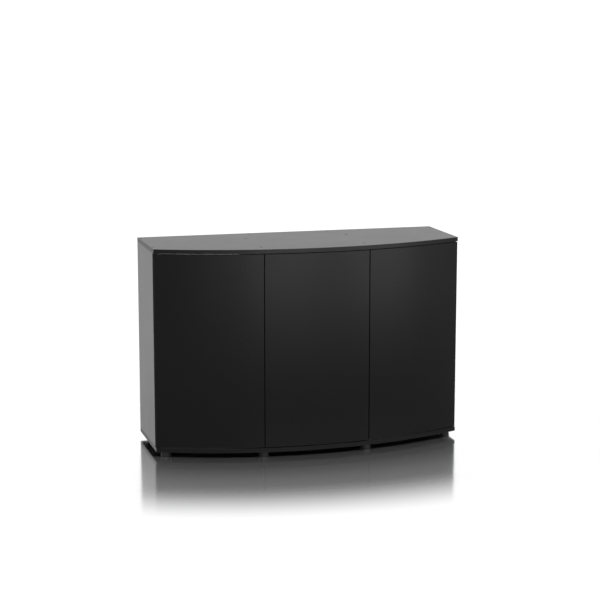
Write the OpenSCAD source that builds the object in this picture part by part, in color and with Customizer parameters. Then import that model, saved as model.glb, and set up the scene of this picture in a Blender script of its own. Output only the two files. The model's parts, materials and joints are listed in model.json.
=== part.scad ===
// Bow-fronted aquarium cabinet, flat-packed from 16 mm boards.
// Three curved doors close three bays under a flat seat for the tank.
// Units are millimetres. +Z is up and +X runs along the width.
// The bowed front faces -Y. The origin is on the floor, at the middle of the footprint.

/* [Cabinet] */
// Overall width
cabinet_w = 1210; // [1100:10:1400]
// Overall depth at the middle of the bowed front
depth_mid = 460; // [440:5:480]
// Overall depth at the two ends
depth_side = 330; // [320:5:340]
// Overall height, from the floor to the tank seat
cabinet_h = 800; // [700:10:900]
// Height of the feet
foot_h = 20; // [18:1:30]
// Distance from the middle to the centre of each divider
divider_x = 204; // [190:1:220]
// Height of the underside of the shelves above the floor
shelf_z = 402; // [340:2:450]

/* [Boards] */
// Thickness of the carcass boards
board_t = 16; // [16:1:18]
// Thickness of the edge band on the top and bottom boards
edge_t = 1; // [0.6:0.1:2]
// Front-to-back depth of the side panels and of the dividers
panel_d = 309; // [300:1:310]
// Width of the back panel behind the middle bay
back_w = 400; // [380:5:400]
// Distance from the rear edge to the back of the back panel
back_inset = 16; // [10:1:20]

/* [Doors] */
// Thickness of the curved doors
door_t = 18; // [18:0.5:19]
// How far the door face lies behind the edge of the top board
door_setback = 1; // [0:0.5:2]
// Gap between two doors
door_gap = 4; // [3:0.5:5]
// Gap over the doors
gap_top = 3; // [2:0.5:4]
// Gap under the doors
gap_bottom = 3.5; // [2:0.5:4]
// Distance from the outer edge of a side door to the side of the cabinet
door_inset = 1.5; // [1:0.5:2]
// Distance from the ends of a door to the middle of its hinges
hinge_end = 100; // [80:5:150]

/* [Hidden] */
$fn = 64;
arc_fn = 256;
clear = 0.05;
half_w = cabinet_w / 2;
rear_y = depth_mid / 2;
bow = depth_mid - depth_side;
front_r = (half_w * half_w + bow * bow) / (2 * bow);
arc_y = front_r - rear_y;
seat_z = cabinet_h - board_t;
base_z = foot_h + board_t;
panel_h = seat_z - base_z;

// Doors: two concentric arcs about the same centre as the boards' front
door_r = front_r - door_setback;
door_ri = door_r - door_t;
door_z = base_z + gap_bottom;
door_h = seat_z - gap_top - door_z;
outer_x = half_w - door_inset;
split_shift = 3;
split_x = divider_x + split_shift;
free_x = split_x + door_gap / 2;
mid_x = split_x - door_gap / 2;

// Y of a door's inner face at a given X
function door_back_y(x) = arc_y - sqrt(door_ri * door_ri - x * x);
// Y of the boards' front edge at a given X
function front_y(x) = arc_y - sqrt(front_r * front_r - x * x);
// Angle round the bow of a point on the door face
function bow_angle(x) = asin(x / door_r);

// Panels
side_x = half_w - board_t / 2;
side_y = rear_y - panel_d;
divider_gap = 8.5;
divider_y = door_back_y(divider_x) + divider_gap;
back_y = rear_y - back_inset - board_t / 2;
end_inset = 34;
back_screw_x = back_w / 2 - 40;
back_dowel_x = back_screw_x - 80;
dowel_step = 60;

// Places of the screws that join the top and bottom boards to the panels
screw_xy = concat(
    [for (s = [-1, 1], y = [side_y + end_inset, rear_y - end_inset]) [s * side_x, y]],
    [for (s = [-1, 1], y = [end_inset, panel_d - end_inset]) [s * divider_x, divider_y + y]],
    [for (s = [-1, 1]) [s * back_screw_x, back_y]]
);
// Places of the dowels beside them
dowel_xy = concat(
    [for (s = [-1, 1], k = [-1, 1]) [s * side_x, side_y + panel_d / 2 + k * dowel_step]],
    [for (s = [-1, 1], k = [-1, 1]) [s * divider_x, divider_y + panel_d / 2 + k * dowel_step]],
    [for (s = [-1, 1]) [s * back_dowel_x, back_y]]
);

// Joining screw and dowel
screw_len = 50;
screw_head_r = 5;
screw_head_h = 2;
screw_neck_r = 3.5;
screw_core_r = 3;
screw_tip_h = 2;
socket_r = 2.3;
socket_depth = 2.5;
neck_len = board_t - 2.5;
dowel_r = 4;
dowel_top = 10;
dowel_low = 20;

// Shelves and their pins
pin_r = 2.5;
pin_row = 37;
pin_pitch = 32;
pin_rows = [pin_row, panel_d - pin_row];
pin_depth = 10;
pin_collar_h = 0.9;
pin_tongue = [9, 7];
shelf_play = 1;
shelf_front_r = door_ri - 24;
shelf_rear_y = rear_y - 15;
pin_z = shelf_z - pin_r;

// Concealed hinge. Its places are in the plane of the door: along it from the edge, and in from its face.
// The door turns about an upright line 5 mm along and 6 mm in.
arm_tip_at = [28, 10];
cup_at = 22.5;
cup_angle = asin(cup_at / door_r);
cup_r = 17.5;
cup_depth = 12.5;
cup_wall = 1.2;
cup_floor = 0.9;
cup_rim = 1.5;
cup_flange = 1;
flange_lift = 0.13;
flange_wing = [3, 13, 62];
cup_bolt_at = 9.5;
cup_bolt_gap = 24;
cup_screw_r = 1.75;
cup_screw_len = 12;
link_len = 15;
link_angle = 175;
link_bar = [3.6, 11];
link_root_r = 3;
link_end_r = 2.2;
hinge_z = [door_z + hinge_end, door_z + door_h - hinge_end];
plate_body = 7;
plate_t = 2.5;
plate_wing = [12, 48];
plate_block = [38, 14];
plate_back = 37;
plate_bolt = 16;
plate_screw_r = 2.5;
plate_screw_len = 13;
arm_w = 16;
arm_lug = 2;
arm_skin = 1.6;
hinge_pin_r = 1.5;
hinge_pin_len = 14;

// Push-to-open latch under the top board
latch_free = 27;
latch_body = [18, 44, 14];
latch_flange = [8, 2, 3];
latch_bolt_at = [4, 8];
latch_gap = 16;
latch_screw_r = 1.75;
latch_screw_len = 13;
plunger_r = 3;
plunger_len = 44;
plunger_gap = 1.2;
latch_z = seat_z - latch_body[2] / 2;
strike_r = 6;
strike_t = 1;

// Feet, and the pan-headed screws that hold them
foot_r = 20;
foot_ring_r = 14;
foot_flange_r = 22;
foot_flange_h = 3;
foot_in = 32;
foot_side_in = 40;
foot_seat = 6;
foot_screw_r = 2;
foot_head_r = 4.5;
foot_head_h = 3;

// ---- outlines and places ----

// Bow-fronted outline: an arc in front, straight ends and a straight back
module bowed(r, half, back) {
    intersection() {
        translate([0, arc_y])
            circle(r = r, $fn = arc_fn);
        translate([-half, -depth_mid])
            square([2 * half, depth_mid + back]);
    }
}

// Carries its children to the outer corner of a door's hinge edge.
// Their X then runs along the door from that edge, and their Y runs into the cabinet.
module at_door_edge(x) {
    a = bow_angle(x);
    translate([door_r * sin(a), arc_y - door_r * cos(a), 0])
        rotate([0, 0, a])
            if (x > 0)
                mirror([1, 0, 0])
                    children();
            else
                children();
}

// Carries its children to a hinge cup's centre line, square to the door at that place
module at_cup(x) {
    at_door_edge(x)
        translate([0, door_r, 0])
            rotate([0, 0, cup_angle])
                translate([0, -door_r, 0])
                    children();
}

// X and Y, in the cabinet's frame, of a point given along and in from a door's hinge edge
function from_edge(x, p) =
    let (a = bow_angle(x), s = x > 0 ? -1 : 1)
    [door_r * sin(a) + s * p[0] * cos(a) - p[1] * sin(a),
     arc_y - door_r * cos(a) + s * p[0] * sin(a) + p[1] * cos(a)];

// Carries its children to a panel's face: their X leaves the face, and their Y runs back
module at_panel(face_x, y, flip) {
    translate([face_x, y, 0])
        if (flip)
            mirror([1, 0, 0])
                children();
        else
            children();
}

// ---- fasteners ----

// Joining screw: its head is flush at Z = 0, and it points down
module joining_screw() {
    difference() {
        union() {
            translate([0, 0, -screw_head_h])
                cylinder(h = screw_head_h, r1 = screw_neck_r, r2 = screw_head_r);
            translate([0, 0, -neck_len])
                cylinder(h = neck_len - screw_head_h, r = screw_neck_r);
            translate([0, 0, screw_tip_h - screw_len])
                cylinder(h = screw_len - screw_tip_h - neck_len, r = screw_core_r);
            translate([0, 0, -screw_len])
                cylinder(h = screw_tip_h, r1 = 1, r2 = screw_core_r);
        }
        translate([0, 0, -socket_depth])
            cylinder(h = socket_depth + 0.5, r = socket_r, $fn = 6);
    }
}

// The hole for it through a board whose outer face is at Z = 0
module joining_hole() {
    translate([0, 0, -screw_head_h - clear])
        cylinder(h = screw_head_h, r1 = screw_neck_r + clear, r2 = screw_head_r + clear);
    translate([0, 0, -clear])
        cylinder(h = 1, r = screw_head_r + clear);
    translate([0, 0, -board_t - 1])
        cylinder(h = board_t, r = screw_neck_r + clear);
}

// Small countersunk cross-head screw: its head is flush at Z = 0, and it points down
module small_screw(r, len) {
    cross_w = 0.8;
    difference() {
        union() {
            translate([0, 0, -r])
                cylinder(h = r, r1 = r, r2 = 2 * r);
            translate([0, 0, 1 - len])
                cylinder(h = len - 1 - r, r = r);
            translate([0, 0, -len])
                cylinder(h = 1, r1 = 0.5, r2 = r);
        }
        for (a = [0, 90])
            rotate([0, 0, a])
                translate([-r, -cross_w / 2, -cross_w])
                    cube([2 * r, cross_w, 1]);
    }
}

// The countersunk hole for it in a thin part whose outer face is at Z = 0
module small_hole(r, len) {
    translate([0, 0, -r - clear])
        cylinder(h = r, r1 = r + clear, r2 = 2 * r + clear);
    translate([0, 0, -clear])
        cylinder(h = 1, r = 2 * r + clear);
    translate([0, 0, -len])
        cylinder(h = len, r = r + clear);
}

// Wooden dowel with chamfered ends, from Z = -dowel_low to Z = dowel_top
module dowel() {
    chamfer = 1;
    translate([0, 0, chamfer - dowel_low])
        cylinder(h = dowel_top + dowel_low - 2 * chamfer, r = dowel_r);
    translate([0, 0, -dowel_low])
        cylinder(h = chamfer, r1 = dowel_r - chamfer, r2 = dowel_r);
    translate([0, 0, dowel_top - chamfer])
        cylinder(h = chamfer, r1 = dowel_r, r2 = dowel_r - chamfer);
}

module dowel_hole() {
    translate([0, 0, -dowel_low - 1])
        cylinder(h = dowel_low + dowel_top + 2, r = dowel_r + clear);
}

// Carries its children to both ends of the panels: to the top joint, and mirrored to the bottom joint
module at_top(places) {
    for (p = places)
        translate([p[0], p[1], cabinet_h])
            children();
}

module at_bottom(places) {
    for (p = places)
        translate([p[0], p[1], foot_h])
            mirror([0, 0, 1])
                children();
}

module joint_holes() {
    at_top(screw_xy)
        joining_hole();
    at_bottom(screw_xy)
        joining_hole();
    at_top(dowel_xy)
        translate([0, 0, -board_t])
            dowel_hole();
    at_bottom(dowel_xy)
        translate([0, 0, -board_t])
            dowel_hole();
}

// The pilot holes in the panels' ends
module pilot_holes() {
    at_top(screw_xy)
        translate([0, 0, -screw_len - 1])
            cylinder(h = screw_len, r = screw_core_r + clear);
    at_bottom(screw_xy)
        translate([0, 0, -screw_len - 1])
            cylinder(h = screw_len, r = screw_core_r + clear);
}

// ---- carcass ----

module bow_board(z) {
    difference() {
        translate([0, 0, z])
            linear_extrude(board_t)
                bowed(front_r - edge_t, half_w - edge_t, rear_y);
        joint_holes();
        latch_holes();
        foot_screw_holes();
    }
}

module bow_edging(z) {
    translate([0, 0, z])
        linear_extrude(board_t)
            difference() {
                bowed(front_r, half_w, rear_y);
                bowed(front_r - edge_t, half_w - edge_t, rear_y + 1);
            }
}

module top_board() {
    color("#2b2b2d")
        bow_board(seat_z);
}

module top_board_edging() {
    color("#1c1c1e")
        bow_edging(seat_z);
}

module bottom_board() {
    color("#2b2b2d")
        bow_board(foot_h);
}

module bottom_board_edging() {
    color("#1c1c1e")
        bow_edging(foot_h);
}

// One row of shelf-pin holes, drilled from a face at X = 0 towards -X
module pin_row_holes() {
    for (k = [-2:2])
        translate([-pin_depth - 1, 0, pin_z + k * pin_pitch])
            rotate([0, 90, 0])
                cylinder(h = pin_depth + 2, r = pin_r);
}

// Upright panel centred on X, from its front edge back
module upright(x, y, face_side) {
    difference() {
        translate([x - board_t / 2, y, base_z])
            cube([board_t, panel_d, panel_h]);
        pilot_holes();
        joint_holes();
        for (row = pin_rows)
            translate([x + face_side * board_t / 2, y + row, 0])
                if (face_side < 0)
                    mirror([1, 0, 0])
                        pin_row_holes();
                else
                    pin_row_holes();
        plate_bolt_holes();
    }
}

module left_side_panel() {
    color("#303032")
        upright(-side_x, side_y, 1);
}

module right_side_panel() {
    color("#303032")
        upright(side_x, side_y, -1);
}

module left_divider() {
    color("#303032")
        upright(-divider_x, divider_y, -1);
}

module right_divider() {
    color("#303032")
        upright(divider_x, divider_y, 1);
}

module back_panel() {
    color("#303032")
        difference() {
            translate([-back_w / 2, back_y - board_t / 2, base_z])
                cube([back_w, board_t, panel_h]);
            pilot_holes();
            joint_holes();
        }
}

module top_screws() {
    color("#151515")
        at_top(screw_xy)
            joining_screw();
}

module bottom_screws() {
    color("#151515")
        at_bottom(screw_xy)
            joining_screw();
}

module top_dowels() {
    color("tan")
        at_top(dowel_xy)
            translate([0, 0, -board_t])
                dowel();
}

module bottom_dowels() {
    color("tan")
        at_bottom(dowel_xy)
            translate([0, 0, -board_t])
                dowel();
}

// ---- shelves ----

// Shelf of the right bay: its front follows the bow
module shelf() {
    inner = divider_x + board_t / 2 + shelf_play;
    outer = half_w - board_t - shelf_play;
    translate([0, 0, shelf_z])
        linear_extrude(board_t)
            intersection() {
                bowed(shelf_front_r, half_w, shelf_rear_y);
                translate([inner, -depth_mid])
                    square([outer - inner, 2 * depth_mid]);
            }
}

// Shelf pin: a shaft in the panel, a collar against its face and a tongue under the shelf
module shelf_pin() {
    translate([-pin_depth + 1, 0, 0])
        rotate([0, 90, 0])
            cylinder(h = pin_depth, r = pin_r - clear);
    rotate([0, 90, 0])
        cylinder(h = pin_collar_h, r = pin_r);
    translate([0, -pin_tongue[1] / 2, 0.5])
        cube([pin_tongue[0], pin_tongue[1], pin_r - 0.5]);
}

// Pins of the right bay: two in the side panel, and two in the divider
module bay_pins() {
    for (row = pin_rows) {
        translate([half_w - board_t, side_y + row, pin_z])
            mirror([1, 0, 0])
                shelf_pin();
        translate([divider_x + board_t / 2, divider_y + row, pin_z])
            shelf_pin();
    }
}

module left_shelf() {
    color("#303032")
        mirror([1, 0, 0])
            shelf();
}

module right_shelf() {
    color("#303032")
        shelf();
}

module left_shelf_pins() {
    color("silver")
        mirror([1, 0, 0])
            bay_pins();
}

module right_shelf_pins() {
    color("silver")
        bay_pins();
}

// ---- doors ----

// Curved door between two places round the bow, bored for its hinge cups
module door(from_x, to_x, hinge_x) {
    start = bow_angle(from_x);
    sweep = bow_angle(to_x) - start;
    difference() {
        translate([0, arc_y, door_z])
            rotate([0, 0, start - 90])
                rotate_extrude(angle = sweep, $fn = arc_fn)
                    translate([door_ri, 0])
                        square([door_t, door_h]);
        at_cup(hinge_x)
            for (z = hinge_z) {
                translate([0, door_t - cup_depth - clear, z])
                    rotate([-90, 0, 0])
                        cylinder(h = cup_depth + 2, r = cup_r + clear);
                cup_bolts(z)
                    rotate([0, 0, 20])
                        small_hole(cup_screw_r, cup_screw_len + 1.5);
            }
    }
}

module left_door() {
    color("#161617")
        door(-outer_x, -free_x, -outer_x);
}

module middle_door() {
    color("#161617")
        door(-mid_x, mid_x, -mid_x);
}

module right_door() {
    color("#161617")
        door(free_x, outer_x, outer_x);
}

// ---- hinges ----

// Carries its children to the two screws of a hinge cup, on the flange's outer face, pointing out
module cup_bolts(z) {
    for (s = [-1, 1])
        translate([cup_bolt_at, door_t + flange_lift + cup_flange, z + s * cup_bolt_gap])
            rotate([-90, 0, 0])
                children();
}

// Hinge cup with a flange that lies on the door's inner face
module hinge_cup(z) {
    floor_y = door_t - cup_depth;
    seat_y = door_t + flange_lift;
    difference() {
        union() {
            translate([0, floor_y, z])
                rotate([-90, 0, 0])
                    cylinder(h = seat_y + cup_flange - floor_y, r = cup_r);
            translate([0, seat_y, z])
                rotate([-90, 0, 0])
                    cylinder(h = cup_flange, r = cup_r + cup_rim);
            translate([flange_wing[0], seat_y, z - flange_wing[2] / 2])
                cube([flange_wing[1], cup_flange, flange_wing[2]]);
        }
        translate([0, floor_y + cup_floor, z])
            rotate([-90, 0, 0])
                cylinder(h = cup_depth + 3, r = cup_r - cup_wall);
        cup_bolts(z)
            small_hole(cup_screw_r, 6);
    }
}

module hinge_cups(x) {
    at_cup(x)
        for (z = hinge_z)
            hinge_cup(z);
}

module cup_screws(x) {
    at_cup(x)
        for (z = hinge_z)
            cup_bolts(z)
                small_screw(cup_screw_r, cup_screw_len);
}

// Link from the arm's tip into the cup, with a pin at each end
module hinge_link() {
    bar_w = link_bar[0];
    bar_h = link_bar[1];
    translate([0, 0, -bar_h / 2]) {
        cylinder(h = bar_h, r = link_root_r);
        translate([0, -bar_w / 2, 0])
            cube([link_len, bar_w, bar_h]);
        translate([link_len, 0, 0])
            cylinder(h = bar_h, r = link_end_r);
    }
    translate([0, 0, -arm_w / 2])
        cylinder(h = arm_w, r = hinge_pin_r);
    translate([link_len, 0, -hinge_pin_len / 2])
        cylinder(h = hinge_pin_len, r = hinge_pin_r);
}

module hinge_links(x) {
    at_door_edge(x)
        for (z = hinge_z)
            translate([arm_tip_at[0], arm_tip_at[1], z])
                rotate([0, 0, link_angle])
                    hinge_link();
}

// Hinge arm: a channel from the mounting plate to the tip.
// reach is how far the tip stands off the panel, and ahead is how far it stands before the panel's edge.
module hinge_arm(reach, ahead) {
    back = ahead + plate_back + 22;
    top = plate_body + 7;
    outline = [
        [reach - 2.8, -2.2], [reach + 5, -2.2], [reach + 5, 4], [top, 18],
        [top, back], [plate_body, back], [plate_body, 16], [reach - 3.6, 6]
    ];
    difference() {
        translate([0, 0, -arm_w / 2])
            linear_extrude(arm_w)
                polygon(outline);
        translate([-arm_skin, -arm_skin, arm_lug - arm_w / 2])
            linear_extrude(arm_w - 2 * arm_lug)
                polygon(outline);
        translate([reach - 5.2, -5, arm_lug - arm_w / 2])
            cube([8.6, 9, arm_w - 2 * arm_lug]);
        translate([reach, 0, -arm_w])
            cylinder(h = 2 * arm_w, r = hinge_pin_r + clear);
    }
}

// Mounting plate: a wing with two screws, and a raised body under the arm
module hinge_plate() {
    difference() {
        union() {
            translate([0, plate_back - plate_wing[0] / 2, -plate_wing[1] / 2])
                cube([plate_t, plate_wing[0], plate_wing[1]]);
            translate([0, plate_back - 16, -plate_block[1] / 2])
                cube([plate_body, plate_block[0], plate_block[1]]);
        }
        plate_bolts()
            small_hole(plate_screw_r, plate_t + 1.5);
    }
}

// Carries its children to the two screws of a mounting plate, pointing out
module plate_bolts() {
    for (s = [-1, 1])
        translate([plate_t, plate_back, s * plate_bolt])
            rotate([0, 90, 0])
                children();
}

// Carries its children to the panel face that holds a door's hinges
module at_hinge_panel(x) {
    if (x < -split_x)
        at_panel(board_t - half_w, side_y, false)
            children();
    if (x > split_x)
        at_panel(half_w - board_t, side_y, true)
            children();
    if (x > -split_x && x < 0)
        at_panel(board_t / 2 - divider_x, divider_y, false)
            children();
}

// How far a door's hinge tip stands off its panel, and how far before the panel's front edge
function tip_reach(x) =
    abs(x) > split_x
    ? half_w - board_t - abs(from_edge(x, arm_tip_at)[0])
    : from_edge(x, arm_tip_at)[0] + divider_x - board_t / 2;
function tip_ahead(x) =
    (abs(x) > split_x ? side_y : divider_y) - from_edge(x, arm_tip_at)[1];

module hinge_arms(x) {
    for (z = hinge_z)
        at_hinge_panel(x)
            translate([0, -tip_ahead(x), z])
                hinge_arm(tip_reach(x), tip_ahead(x));
}

module hinge_plates(x) {
    for (z = hinge_z)
        at_hinge_panel(x)
            translate([0, 0, z])
                hinge_plate();
}

HINGE_X = [-outer_x, -mid_x, outer_x];

module plate_bolt_holes() {
    for (x = HINGE_X, z = hinge_z)
        at_hinge_panel(x)
            translate([0, 0, z])
                plate_bolts()
                    small_hole(plate_screw_r, plate_screw_len + 1);
}

module plate_screws() {
    color("silver")
        for (x = HINGE_X, z = hinge_z)
            at_hinge_panel(x)
                translate([0, 0, z])
                    plate_bolts()
                        small_screw(plate_screw_r, plate_screw_len);
}

module left_hinge_cups() {
    color("silver")
        hinge_cups(-outer_x);
}

module middle_hinge_cups() {
    color("silver")
        hinge_cups(-mid_x);
}

module right_hinge_cups() {
    color("silver")
        hinge_cups(outer_x);
}

module left_cup_screws() {
    color("silver")
        cup_screws(-outer_x);
}

module middle_cup_screws() {
    color("silver")
        cup_screws(-mid_x);
}

module right_cup_screws() {
    color("silver")
        cup_screws(outer_x);
}

module left_hinge_links() {
    color("silver")
        hinge_links(-outer_x);
}

module middle_hinge_links() {
    color("silver")
        hinge_links(-mid_x);
}

module right_hinge_links() {
    color("silver")
        hinge_links(outer_x);
}

module left_hinge_arms() {
    color("silver")
        hinge_arms(-outer_x);
}

module middle_hinge_arms() {
    color("silver")
        hinge_arms(-mid_x);
}

module right_hinge_arms() {
    color("silver")
        hinge_arms(outer_x);
}

module left_hinge_plates() {
    color("silver")
        hinge_plates(-outer_x);
}

module middle_hinge_plates() {
    color("silver")
        hinge_plates(-mid_x);
}

module right_hinge_plates() {
    color("silver")
        hinge_plates(outer_x);
}

// ---- latches ----

// X of each latch: beside the free edge of its door
LATCH_X = [-free_x - latch_free, mid_x - latch_free, free_x + latch_free];

// Carries its children to a latch's front end, on the plunger's axis. Their Y runs back.
module at_latch(x) {
    translate([x, door_back_y(x) + latch_gap, latch_z])
        children();
}

// Carries its children to the two screws of a latch housing, on its flange's underside
module latch_bolts() {
    for (s = [-1, 1])
        translate([
            s * (latch_body[0] / 2 + latch_bolt_at[0]),
            latch_body[1] / 2 + s * (latch_body[1] / 2 - latch_bolt_at[1]),
            latch_body[2] / 2 - latch_flange[2]
        ])
            mirror([0, 0, 1])
                children();
}

module latch_holes() {
    for (x = LATCH_X)
        at_latch(x)
            latch_bolts()
                small_hole(latch_screw_r, latch_screw_len + 1);
}

module latch_housing(x) {
    w = latch_body[0];
    d = latch_body[1];
    h = latch_body[2];
    color("#3a3a3c")
        at_latch(x)
            difference() {
                union() {
                    translate([-w / 2, 0, -h / 2])
                        cube([w, d, h]);
                    translate([-w / 2 - latch_flange[0], latch_flange[1], h / 2 - latch_flange[2]])
                        cube([w + 2 * latch_flange[0], d - 2 * latch_flange[1], latch_flange[2]]);
                }
                translate([0, -1, 0])
                    rotate([-90, 0, 0])
                        cylinder(h = d - 2, r = plunger_r + clear);
                latch_bolts()
                    small_hole(latch_screw_r, 5);
            }
}

// Plunger: a round rod with a domed tip
module latch_plunger(x) {
    tip_gap = plunger_gap + strike_t;
    color("#d8d8d8")
        at_latch(x)
            translate([0, tip_gap - latch_gap, 0]) {
                translate([0, plunger_r, 0])
                    sphere(r = plunger_r);
                translate([0, plunger_r, 0])
                    rotate([-90, 0, 0])
                        cylinder(h = plunger_len - plunger_r, r = plunger_r);
            }
}

// Strike: a thin steel disc on the door's inner face
module strike(x) {
    a = asin(x / door_ri);
    color("silver")
        translate([0, arc_y, latch_z])
            rotate([0, 0, a])
                translate([0, -door_ri + clear, 0])
                    rotate([-90, 0, 0])
                        cylinder(h = strike_t, r = strike_r);
}

module left_latch_housing() {
    latch_housing(LATCH_X[0]);
}

module middle_latch_housing() {
    latch_housing(LATCH_X[1]);
}

module right_latch_housing() {
    latch_housing(LATCH_X[2]);
}

module left_latch_plunger() {
    latch_plunger(LATCH_X[0]);
}

module middle_latch_plunger() {
    latch_plunger(LATCH_X[1]);
}

module right_latch_plunger() {
    latch_plunger(LATCH_X[2]);
}

module left_strike() {
    strike(LATCH_X[0]);
}

module middle_strike() {
    strike(LATCH_X[1]);
}

module right_strike() {
    strike(LATCH_X[2]);
}

module latch_screws() {
    color("silver")
        for (x = LATCH_X)
            at_latch(x)
                latch_bolts()
                    small_screw(latch_screw_r, latch_screw_len);
}

// ---- feet ----

FOOT_X = [foot_side_in - half_w, -divider_x, divider_x, half_w - foot_side_in];
function front_foot_y(x) = front_y(x) + foot_in;
rear_foot_y = rear_y - foot_in;

// Round moulded glide with a flange on the board and a chamfered foot ring
module foot(x, y) {
    edge = 2;
    hollow_r = foot_head_r + 1;
    hollow_z = 2.5;
    bore_r = foot_screw_r + clear;
    outline = [
        [bore_r, foot_h], [foot_flange_r, foot_h], [foot_flange_r, foot_h - foot_flange_h],
        [foot_r - edge, foot_h - 1.5 * foot_flange_h], [foot_r, edge], [foot_r - edge, 0],
        [foot_ring_r, 0], [foot_ring_r - edge, hollow_z], [hollow_r, hollow_z],
        [hollow_r, foot_h - foot_seat], [bore_r, foot_h - foot_seat]
    ];
    color("#111112")
        translate([x, y, 0])
            rotate_extrude()
                polygon(outline);
}

// Pan-headed screw that holds a foot, driven up into the bottom board
module foot_screw() {
    translate([0, 0, foot_h - foot_seat - foot_head_h])
        difference() {
            cylinder(h = foot_head_h, r = foot_head_r);
            translate([0, 0, -1])
                cylinder(h = foot_head_h - 0.4, r = foot_screw_r, $fn = 6);
        }
    translate([0, 0, foot_h - foot_seat])
        cylinder(h = foot_seat + 12, r = foot_screw_r);
}

module at_feet() {
    for (x = FOOT_X) {
        translate([x, front_foot_y(x), 0])
            children();
        translate([x, rear_foot_y, 0])
            children();
    }
}

module foot_screw_holes() {
    at_feet()
        translate([0, 0, foot_h - 1])
            cylinder(h = 14, r = foot_screw_r + clear);
}

module foot_screws() {
    color("silver")
        at_feet()
            foot_screw();
}

module front_left_foot() {
    foot(FOOT_X[0], front_foot_y(FOOT_X[0]));
}

module front_mid_left_foot() {
    foot(FOOT_X[1], front_foot_y(FOOT_X[1]));
}

module front_mid_right_foot() {
    foot(FOOT_X[2], front_foot_y(FOOT_X[2]));
}

module front_right_foot() {
    foot(FOOT_X[3], front_foot_y(FOOT_X[3]));
}

module rear_left_foot() {
    foot(FOOT_X[0], rear_foot_y);
}

module rear_mid_left_foot() {
    foot(FOOT_X[1], rear_foot_y);
}

module rear_mid_right_foot() {
    foot(FOOT_X[2], rear_foot_y);
}

module rear_right_foot() {
    foot(FOOT_X[3], rear_foot_y);
}

top_board();
top_board_edging();
bottom_board();
bottom_board_edging();
left_side_panel();
right_side_panel();
left_divider();
right_divider();
back_panel();
left_shelf();
right_shelf();
left_shelf_pins();
right_shelf_pins();
top_screws();
bottom_screws();
top_dowels();
bottom_dowels();
left_door();
middle_door();
right_door();
left_hinge_cups();
middle_hinge_cups();
right_hinge_cups();
left_cup_screws();
middle_cup_screws();
right_cup_screws();
left_hinge_links();
middle_hinge_links();
right_hinge_links();
left_hinge_arms();
middle_hinge_arms();
right_hinge_arms();
left_hinge_plates();
middle_hinge_plates();
right_hinge_plates();
plate_screws();
left_latch_housing();
middle_latch_housing();
right_latch_housing();
left_latch_plunger();
middle_latch_plunger();
right_latch_plunger();
left_strike();
middle_strike();
right_strike();
latch_screws();
front_left_foot();
front_mid_left_foot();
front_mid_right_foot();
front_right_foot();
rear_left_foot();
rear_mid_left_foot();
rear_mid_right_foot();
rear_right_foot();
foot_screws();
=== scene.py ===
"""Looks of a black bow-fronted aquarium cabinet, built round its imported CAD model.

Everything is in metres, in the model's own frame: +Z is up and the bowed front faces -Y.
"""

import json
import math

import bpy
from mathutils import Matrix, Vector


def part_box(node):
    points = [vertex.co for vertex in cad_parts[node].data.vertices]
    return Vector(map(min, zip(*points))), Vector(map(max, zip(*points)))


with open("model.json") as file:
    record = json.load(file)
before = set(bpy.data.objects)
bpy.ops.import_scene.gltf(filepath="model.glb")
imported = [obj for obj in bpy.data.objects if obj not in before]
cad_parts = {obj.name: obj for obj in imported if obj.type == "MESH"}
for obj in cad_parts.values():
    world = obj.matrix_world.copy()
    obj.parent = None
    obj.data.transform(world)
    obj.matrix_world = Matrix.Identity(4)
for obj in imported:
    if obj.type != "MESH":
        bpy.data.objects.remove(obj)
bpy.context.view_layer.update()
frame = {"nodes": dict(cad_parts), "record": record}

MM = 0.001
NODES = frame["nodes"]
SLOT_OF = {part["node"]: part["material_slot"] for part in frame["record"]["subparts"]}


# ---- small helpers ----

def add(tree, kind, inputs=None, **settings):
    """Adds a node. Inputs are values or sockets of other nodes, by socket name or number."""
    made = tree.nodes.new(kind)
    for name, value in settings.items():
        setattr(made, name, value)
    for key, value in (inputs or {}).items():
        if isinstance(value, bpy.types.NodeSocket):
            tree.links.new(value, made.inputs[key])
        else:
            made.inputs[key].default_value = value
    return made


def math_node(tree, operation, a, b=0.0, clamp=False):
    """One Math node; returns its output socket."""
    return add(tree, "ShaderNodeMath", {0: a, 1: b}, operation=operation, use_clamp=clamp).outputs[0]


def remap(tree, value, from_low, from_high, to_low, to_high, smooth=False):
    """One Map Range node; returns its output socket."""
    made = add(tree, "ShaderNodeMapRange", {
        "Value": value, "From Min": from_low, "From Max": from_high, "To Min": to_low, "To Max": to_high,
    }, interpolation_type="SMOOTHSTEP" if smooth else "LINEAR")
    return made.outputs["Result"]


def blend(tree, factor, a, b):
    """Mix of two colours; returns its output socket."""
    return add(tree, "ShaderNodeMix", {0: factor, 6: a, 7: b}, data_type="RGBA").outputs[2]


def grey(value, warmth=0.0):
    """A neutral colour, a little warm or cool."""
    return (value * (1 + warmth), value, value * (1 - warmth), 1.0)


def noise(tree, coords, per_metre, detail=3.0, stretch=(1, 1, 1)):
    """Noise with that many cells a metre, longer along an axis where stretch is under 1."""
    scaled = add(tree, "ShaderNodeVectorMath", {0: coords, 1: stretch}, operation="MULTIPLY")
    made = add(tree, "ShaderNodeTexNoise", {
        "Vector": scaled.outputs[0], "Scale": per_metre, "Detail": detail, "Roughness": 0.6,
    })
    return made.outputs[0]


def flat_length(tree, x, y):
    """Length of the level vector x, y; returns its output socket."""
    flat = add(tree, "ShaderNodeCombineXYZ", {0: x, 1: y})
    return add(tree, "ShaderNodeVectorMath", {0: flat.outputs[0]}, operation="LENGTH").outputs["Value"]


# ---- shape of the cabinet, read back from the frame ----

TOP_LOW, TOP_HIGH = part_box("top_board_edging")
HALF_W = TOP_HIGH.x
REAR_Y = TOP_HIGH.y
FRONT_Y = TOP_LOW.y


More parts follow.
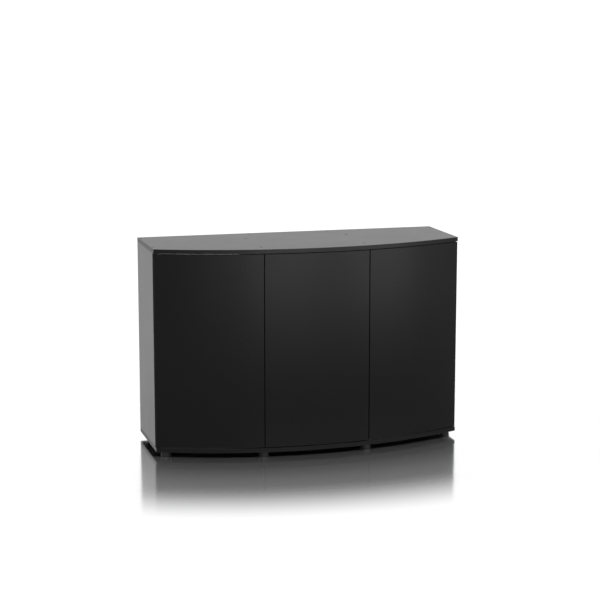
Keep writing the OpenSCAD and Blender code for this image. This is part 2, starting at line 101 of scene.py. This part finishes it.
def bow_from_edge():
    """Radius and centre of the bow, from the front edge band: its middle, and its front corner at +X."""
    band = NODES["top_board_edging"].data.vertices
    corner_y = min(v.co.y for v in band if v.co.x > HALF_W - 0.1 * MM)
    rise = corner_y - FRONT_Y
    radius = (HALF_W ** 2 + rise ** 2) / (2 * rise)
    return radius, FRONT_Y + radius


BOW_R, BOW_Y = bow_from_edge()

# The edge bands and the doors follow the bow. The doors stand a little back from it.
BAND_T = 1 * MM
DOOR_T = 18 * MM
DOOR_SETBACK = 1 * MM
DOOR_OUTER_R = BOW_R - DOOR_SETBACK


def bow_radius(tree, x, y):
    """Distance of a point from the upright axis of the bow; returns its output socket."""
    return flat_length(tree, x, math_node(tree, "SUBTRACT", y, BOW_Y))


# ---- worn arrises ----

def nearest_face(tree, value, low, high):
    """Distance from a coordinate to the nearer of two planes."""
    below = math_node(tree, "ABSOLUTE", math_node(tree, "SUBTRACT", value, low))
    above = math_node(tree, "ABSOLUTE", math_node(tree, "SUBTRACT", value, high))
    return math_node(tree, "MINIMUM", below, above)


def arris(tree, coords, low, high, bow=None):
    """Distance to the nearest arris of a board: the second smallest distance to its three pairs of
    faces. For a curved board, bow gives the radii of its inner and outer face."""
    x, y, z = add(tree, "ShaderNodeSeparateXYZ", {0: coords}).outputs
    across = nearest_face(tree, x, low.x, high.x)
    upward = nearest_face(tree, z, low.z, high.z)
    if bow:
        inward = nearest_face(tree, bow_radius(tree, x, y), bow[0], bow[1])
    else:
        inward = nearest_face(tree, y, low.y, high.y)
    small = math_node(tree, "MINIMUM", across, inward)
    large = math_node(tree, "MAXIMUM", across, inward)
    return math_node(tree, "MAXIMUM", small, math_node(tree, "MINIMUM", large, upward))


# ---- materials ----

def start_material(name):
    """A new material with a Principled shader; returns it, its tree, the shader and the coordinates."""
    made = bpy.data.materials.new(name)
    made.use_nodes = True
    tree = made.node_tree
    shader = next(n for n in tree.nodes if n.type == "BSDF_PRINCIPLED")
    coords = add(tree, "ShaderNodeTexCoord").outputs["Object"]
    return made, tree, shader, coords


def set_bump(tree, shader, height, depth, strength):
    """Bump of that depth in metres, driven by a height from 0 to 1."""
    made = add(tree, "ShaderNodeBump", {"Height": height, "Distance": depth, "Strength": strength})
    tree.links.new(made.outputs[0], shader.inputs["Normal"])


# How pale a worn arris gets, how far its line wanders, and the roughness that a dull face gains
ARRIS_WEAR = 0.5
ARRIS_RAGGED = 2.4 * MM
DULLER = 0.55


def laminate(name, low, high, tone, rough, level, grain=(1, 1, 1), bow=None, dull_top=False):
    """Melamine or foil on a board: fine pores drawn out along the grain, cloudy gloss, and slightly
    worn arrises. Its underside is duller, and so is its top edge if dull_top is set."""
    made, tree, shader, coords = start_material(name)
    pores = noise(tree, coords, 1400, 2.0, grain)
    cloud = noise(tree, coords, 9)
    smear = noise(tree, coords, 60, 4.0, (0.3, 1, 1))
    body = remap(tree, pores, 0.35, 0.65, 0.88, 1.1)
    body = math_node(tree, "MULTIPLY", body, remap(tree, cloud, 0.3, 0.7, 0.96, 1.03))
    base = add(tree, "ShaderNodeVectorMath", {
        0: (tone, tone, tone * 1.04), "Scale": body,
    }, operation="SCALE")
    ragged = math_node(tree, "MULTIPLY", noise(tree, coords, 260, 4.0), ARRIS_RAGGED)
    edge = math_node(tree, "SUBTRACT", arris(tree, coords, low, high, bow), ragged)
    worn = remap(tree, edge, -0.9 * MM, -0.2 * MM, ARRIS_WEAR, 0.0, smooth=True)
    colour = blend(tree, worn, base.outputs[0], grey(tone * 2.6 + 0.012))
    tree.links.new(colour, shader.inputs["Base Color"])
    gloss = remap(tree, cloud, 0.3, 0.7, rough - 0.008, rough + 0.01)
    gloss = math_node(tree, "ADD", gloss, remap(tree, smear, 0.35, 0.75, -0.006, 0.008))
    gloss = math_node(tree, "ADD", gloss, math_node(tree, "MULTIPLY", worn, 0.12), clamp=True)
    z = add(tree, "ShaderNodeSeparateXYZ", {0: coords}).outputs[2]
    dull = remap(tree, z, low.z + 0.1 * MM, low.z + 0.4 * MM, DULLER, 0.0)
    if dull_top:
        top_dull = remap(tree, z, high.z - 0.4 * MM, high.z - 0.1 * MM, 0.0, DULLER)
        dull = math_node(tree, "ADD", dull, top_dull)
    gloss = math_node(tree, "ADD", gloss, dull, clamp=True)
    tree.links.new(gloss, shader.inputs["Roughness"])
    shader.inputs["Specular IOR Level"].default_value = level
    set_bump(tree, shader, pores, 0.03 * MM, 0.35)
    return made


def metal(name, tone, rough, spots, brushed=(1, 1, 1), warmth=0.0):
    """Plated steel: fine drawn lines, small patches of duller plating and a few dark specks."""
    made, tree, shader, coords = start_material(name)
    lines = noise(tree, coords, 2600, 2.0, brushed)
    patches = noise(tree, coords, 130)
    specks = noise(tree, coords, 900, 1.0)
    patchy = remap(tree, patches, 0.35, 0.65, 0.0, 1.0)
    plating = blend(tree, patchy, grey(tone, warmth), grey(tone * 0.86, warmth * 1.6))
    dull = remap(tree, specks, 0.68, 0.78, 0.0, spots, smooth=True)
    colour = blend(tree, dull, plating, grey(tone * 0.4))
    tree.links.new(colour, shader.inputs["Base Color"])
    gloss = remap(tree, lines, 0.3, 0.7, rough - 0.05, rough + 0.07)
    gloss = math_node(tree, "ADD", gloss, math_node(tree, "MULTIPLY", patches, 0.06), clamp=True)
    tree.links.new(gloss, shader.inputs["Roughness"])
    shader.inputs["Metallic"].default_value = 1.0
    set_bump(tree, shader, lines, 0.01 * MM, 0.5)
    return made


def plastic(name, tone, rough, scuff, grain_depth=0.02 * MM, warmth=0.0, level=0.5):
    """Moulded plastic: spark-eroded grain, soft flow marks and light scuffs."""
    made, tree, shader, coords = start_material(name)
    texture = noise(tree, coords, 2200, 2.0)
    flow = noise(tree, coords, 25, stretch=(1, 1, 0.4))
    scuffs = noise(tree, coords, 320, 4.0, (1, 1, 0.15))
    marked = remap(tree, scuffs, 0.58, 0.72, 0.0, scuff, smooth=True)
    streaky = remap(tree, flow, 0.3, 0.7, 0.0, 1.0)
    tint = blend(tree, streaky, grey(tone, warmth), grey(tone * 0.88, warmth))
    colour = blend(tree, marked, tint, grey(tone * 1.6 + 0.03, warmth))
    tree.links.new(colour, shader.inputs["Base Color"])
    gloss = remap(tree, flow, 0.3, 0.7, rough - 0.03, rough + 0.04)
    gloss = math_node(tree, "ADD", gloss, math_node(tree, "MULTIPLY", marked, 0.15), clamp=True)
    tree.links.new(gloss, shader.inputs["Roughness"])
    shader.inputs["Specular IOR Level"].default_value = level
    set_bump(tree, shader, texture, grain_depth, 0.6)
    return made


DARK_WOOD = (0.56, 0.36, 0.2, 1)
PALE_WOOD = (0.68, 0.48, 0.29, 1)
FLECK = (0.33, 0.18, 0.09, 1)


def beech(name):
    """Beech: pale flesh-brown wood with short dark flecks along the grain, which runs up."""
    made, tree, shader, coords = start_material(name)
    rings = noise(tree, coords, 420, 4.0, (1, 1, 0.06))
    flecks = noise(tree, coords, 1500, 2.0, (1, 1, 0.12))
    wood = blend(tree, remap(tree, rings, 0.3, 0.7, 0.0, 1.0), DARK_WOOD, PALE_WOOD)
    colour = blend(tree, remap(tree, flecks, 0.6, 0.7, 0.0, 0.6, smooth=True), wood, FLECK)
    tree.links.new(colour, shader.inputs["Base Color"])
    tree.links.new(remap(tree, rings, 0.3, 0.7, 0.55, 0.72), shader.inputs["Roughness"])
    set_bump(tree, shader, flecks, 0.05 * MM, 0.6)
    return made


# The grain of an upright board runs up, and that of the other boards runs along X. A board that is
# taller than this is upright.
GRAIN_UP = (1, 1, 0.03)
GRAIN_ALONG = (0.03, 1, 1)
UPRIGHT_OVER = 0.1


def board_finish(node, slot):
    """The finish of one board, door or edge band, with its arrises where that node has them."""
    low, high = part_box(node)
    if slot == "edge_band":
        return laminate(node + "_band", low, high, tone=0.005, rough=0.34, level=0.085,
                        bow=(BOW_R - BAND_T, BOW_R))
    if slot == "door_black":
        return laminate(node + "_foil", low, high, tone=0.003, rough=0.34, level=0.09,
                        grain=GRAIN_UP, bow=(DOOR_OUTER_R - DOOR_T, DOOR_OUTER_R), dull_top=True)
    # The bottom board is the same black laminate as the other boards. Its darker tone is painted shade,
    # and it is also rougher and less glossy.
    if node == "bottom_board":
        return laminate(node + "_laminate", low, high, tone=0.012, rough=0.55, level=0.02,
                        grain=GRAIN_ALONG)
    if slot == "board_black":
        return laminate(node + "_laminate", low, high, tone=0.018, rough=0.33, level=0.218,
                        grain=GRAIN_ALONG)
    upright = high.z - low.z > UPRIGHT_OVER
    return laminate(node + "_laminate", low, high, tone=0.018, rough=0.34, level=0.272,
                    grain=GRAIN_UP if upright else GRAIN_ALONG)


SHARED_FINISH = {
    "hinge_nickel": metal("nickel_plate", 0.66, 0.24, spots=0.35, brushed=(1, 1, 0.08), warmth=0.03),
    "screw_zinc": metal("zinc_plate", 0.6, 0.3, spots=0.5, warmth=-0.03),
    "screw_black": plastic("black_screw_coating", 0.006, 0.5, scuff=0.15, level=0.01),
    "pin_steel": metal("pin_plate", 0.64, 0.26, spots=0.3, brushed=(0.1, 1, 1), warmth=0.02),
    "strike_steel": metal("strike_plate", 0.6, 0.34, spots=0.5, brushed=(1, 1, 0.1)),
    "latch_grey": plastic("latch_plastic", 0.075, 0.42, scuff=0.3),
    "plunger_white": plastic("plunger_plastic", 0.72, 0.35, scuff=0.2, grain_depth=0.01 * MM,
                             warmth=0.03),
    "foot_black": plastic("foot_plastic", 0.01, 0.5, scuff=0.5, level=0.2),
    "dowel_wood": beech("dowel_beech"),
}


# ---- modifiers: merged seams, smooth curves and softened arrises ----

# Vertices closer than the seam gap are one. The two angles are those between the faces at an edge.
SEAM_GAP = 0.002 * MM
SMOOTH_UP_TO = math.radians(30)
SQUARE_OVER = math.radians(69)
LONG_OVER = 8 * MM


def compare(group, value, limit):
    """One Compare node, true over the limit; returns its output socket."""
    return add(group, "FunctionNodeCompare", {0: value, 1: limit}, operation="GREATER_THAN").outputs[0]


def smoothing_group():
    """Geometry nodes that merge the mesh's split seams and smooth it up to an angle. They also mark
    the long square edges for the bevel, so the rims of holes stay sharp."""
    group = bpy.data.node_groups.new("merge_and_smooth", "GeometryNodeTree")
    group.interface.new_socket("Geometry", in_out="INPUT", socket_type="NodeSocketGeometry")
    group.interface.new_socket("Geometry", in_out="OUTPUT", socket_type="NodeSocketGeometry")
    start = add(group, "NodeGroupInput")
    merge = add(group, "GeometryNodeMergeByDistance", {
        "Geometry": start.outputs[0], "Distance": SEAM_GAP,
    })
    clean = add(group, "GeometryNodeRemoveAttribute", {
        "Geometry": merge.outputs[0], "Name": "custom_normal",
    })
    faces = add(group, "GeometryNodeSetShadeSmooth", {
        "Geometry": clean.outputs[0], "Shade Smooth": True,
    })
    angle = add(group, "GeometryNodeInputMeshEdgeAngle").outputs[0]
    edges = add(group, "GeometryNodeSetShadeSmooth", {
        "Geometry": faces.outputs[0], "Shade Smooth": False,
        "Selection": compare(group, angle, SMOOTH_UP_TO),
    }, domain="EDGE")
    tips = add(group, "GeometryNodeInputMeshEdgeVertices")
    length = add(group, "ShaderNodeVectorMath", {
        0: tips.outputs[2], 1: tips.outputs[3],
    }, operation="DISTANCE").outputs["Value"]
    long_and_square = add(group, "FunctionNodeBooleanMath", {
        0: compare(group, angle, SQUARE_OVER), 1: compare(group, length, LONG_OVER),
    }, operation="AND")
    marked = add(group, "GeometryNodeStoreNamedAttribute", {
        "Geometry": edges.outputs[0], "Name": "bevel_weight_edge", "Value": long_and_square.outputs[0],
    }, data_type="FLOAT", domain="EDGE")
    add(group, "NodeGroupOutput", {0: marked.outputs[0]})
    return group


SMOOTHING = smoothing_group()


def soften(node, width):
    """Merges a CAD node's seams and rounds its arrises by that width."""
    made = NODES[node]
    merge = made.modifiers.new("merge_and_smooth", "NODES")
    merge.node_group = SMOOTHING
    if width:
        bevel = made.modifiers.new("arris", "BEVEL")
        bevel.width = width
        bevel.segments = 2
        bevel.limit_method = "WEIGHT"
        bevel.use_clamp_overlap = False
        bevel.harden_normals = True


# Width of the rounded arrises, by material slot
ARRIS = {
    "board_black": 0.2 * MM, "panel_black": 0.5 * MM, "edge_band": 0.15 * MM, "door_black": 0.25 * MM,
}

for node_name, node_object in NODES.items():
    slot_name = SLOT_OF[node_name]
    finish = SHARED_FINISH.get(slot_name) or board_finish(node_name, slot_name)
    node_object.data.materials.clear()
    node_object.data.materials.append(finish)
    soften(node_name, ARRIS.get(slot_name, 0))


# ---- floor ----

FLOOR_HALF = 40.0


def outside(tree, value, half):
    """How far a coordinate lies past plus or minus half; returns its output socket."""
    past = math_node(tree, "SUBTRACT", math_node(tree, "ABSOLUTE", value), half)
    return math_node(tree, "MAXIMUM", past, 0.0)


def floor_polish(tree, coords):
    """Polish of the floor, from 0 to 1. It fades with the distance from the cabinet's footprint, and
    it shows at a low angle only, so light that falls steeply meets a matt floor."""
    x, y = add(tree, "ShaderNodeSeparateXYZ", {0: coords}).outputs[:2]
    from_box = flat_length(tree, outside(tree, x, HALF_W), outside(tree, y, REAR_Y))
    from_bow = math_node(tree, "SUBTRACT", bow_radius(tree, x, y), BOW_R)
    distance = math_node(tree, "MAXIMUM", from_box, from_bow)
    # A broad fade, a little more polish near the footprint, and a little more under the cabinet
    far = remap(tree, distance, 0.37, 0.82, 0.84, 0.0, smooth=True)
    near = remap(tree, distance, 0.0, 0.45, 0.12, 0.0, smooth=True)
    under = remap(tree, from_bow, -0.02, -0.004, 0.05, 0.0)
    polish = math_node(tree, "ADD", math_node(tree, "ADD", far, near), under, clamp=True)
    facing = add(tree, "ShaderNodeLayerWeight", {"Blend": 0.5}).outputs["Facing"]
    low_angle = remap(tree, facing, 0.45, 0.66, 0.0, 1.0, smooth=True)
    return math_node(tree, "MULTIPLY", polish, low_angle)


def floor_material():
    """White floor, polished near the cabinet."""
    made = bpy.data.materials.new("studio_floor")
    made.use_nodes = True
    tree = made.node_tree
    tree.nodes.clear()
    coords = add(tree, "ShaderNodeTexCoord").outputs["Object"]
    white = add(tree, "ShaderNodeBsdfDiffuse", {"Color": grey(0.9)})
    mirror = add(tree, "ShaderNodeBsdfGlossy", {"Color": grey(0.98), "Roughness": 0.12})
    mixed = add(tree, "ShaderNodeMixShader", {
        0: floor_polish(tree, coords), 1: white.outputs[0], 2: mirror.outputs[0],
    })
    add(tree, "ShaderNodeOutputMaterial", {0: mixed.outputs[0]})
    return made


def studio_floor():
    """A plain square floor under the cabinet."""
    low, high = -FLOOR_HALF, FLOOR_HALF
    corners = [(low, low, 0), (high, low, 0), (high, high, 0), (low, high, 0)]
    mesh = bpy.data.meshes.new("studio_floor")
    mesh.from_pydata(corners, [], [(0, 1, 2, 3)])
    made = bpy.data.objects.new("studio_floor", mesh)
    made.data.materials.append(floor_material())
    bpy.context.scene.collection.objects.link(made)


studio_floor()


# ---- light ----

HORIZON_STRENGTH = 1.03
OVERHEAD_STRENGTH = 1.35


def studio_world():
    """White studio, even all round and brightest overhead."""
    made = bpy.data.worlds.new("studio")
    made.use_nodes = True
    tree = made.node_tree
    background = next(n for n in tree.nodes if n.type == "BACKGROUND")
    direction = add(tree, "ShaderNodeTexCoord").outputs["Generated"]
    z = add(tree, "ShaderNodeSeparateXYZ", {0: direction}).outputs[2]
    strength = remap(tree, z, 0.35, 0.8, HORIZON_STRENGTH, OVERHEAD_STRENGTH, smooth=True)
    tree.links.new(strength, background.inputs["Strength"])
    background.inputs["Color"].default_value = grey(1.0)
    bpy.context.scene.world = made


SOFTBOX_SIZE = 0.9
SOFTBOX_AWAY = 2.2
SOFTBOX_Z = 0.7
SOFTBOX_AIM = Vector((0, 0, 1.18))
SOFTBOX_SPREAD = math.radians(66)

# Azimuth in degrees, 0 in front and 90 towards +X, and power in watts, of each softbox
SOFTBOXES = [(-20, 0.7), (0, 2.4), (20, 1.35), (40, 2.1), (60, 0.4)]


def softbox(name, azimuth, power):
    """Square soft light with a grid, standing low at that azimuth and aimed over the cabinet."""
    lamp = bpy.data.lights.new(name, "AREA")
    lamp.shape = "SQUARE"
    lamp.size = SOFTBOX_SIZE
    lamp.energy = power
    lamp.spread = SOFTBOX_SPREAD
    made = bpy.data.objects.new(name, lamp)
    angle = math.radians(azimuth)
    made.location = (SOFTBOX_AWAY * math.sin(angle), -SOFTBOX_AWAY * math.cos(angle), SOFTBOX_Z)
    aim = SOFTBOX_AIM - made.location
    made.rotation_euler = aim.to_track_quat("-Z", "Y").to_euler()
    made.visible_camera = False
    bpy.context.scene.collection.objects.link(made)


studio_world()
for number, (softbox_azimuth, softbox_power) in enumerate(SOFTBOXES):
    softbox("front_softbox_%d" % number, softbox_azimuth, softbox_power)


# ---- camera ----

# The photo was taken with a level, shifted camera. This one is pitched down instead, with no shift,
# so that the other views stay unshifted too.
CAMERA_AT = Vector((-1.795, -6.354, 1.745))
CAMERA_YAW = math.radians(15.7)
CAMERA_PITCH = math.radians(10.16)
LENS_MM = 103.2
SENSOR_MM = 36
CLIP_END = 200

camera_data = bpy.data.cameras.new("camera")
camera_data.lens = LENS_MM
camera_data.sensor_width = SENSOR_MM
camera_data.clip_end = CLIP_END
camera = bpy.data.objects.new("camera", camera_data)
camera.location = CAMERA_AT
camera.rotation_euler = (math.pi / 2 - CAMERA_PITCH, 0, -CAMERA_YAW)
bpy.context.scene.collection.objects.link(camera)
bpy.context.scene.camera = camera
bpy.context.scene.view_settings.view_transform = "Standard"
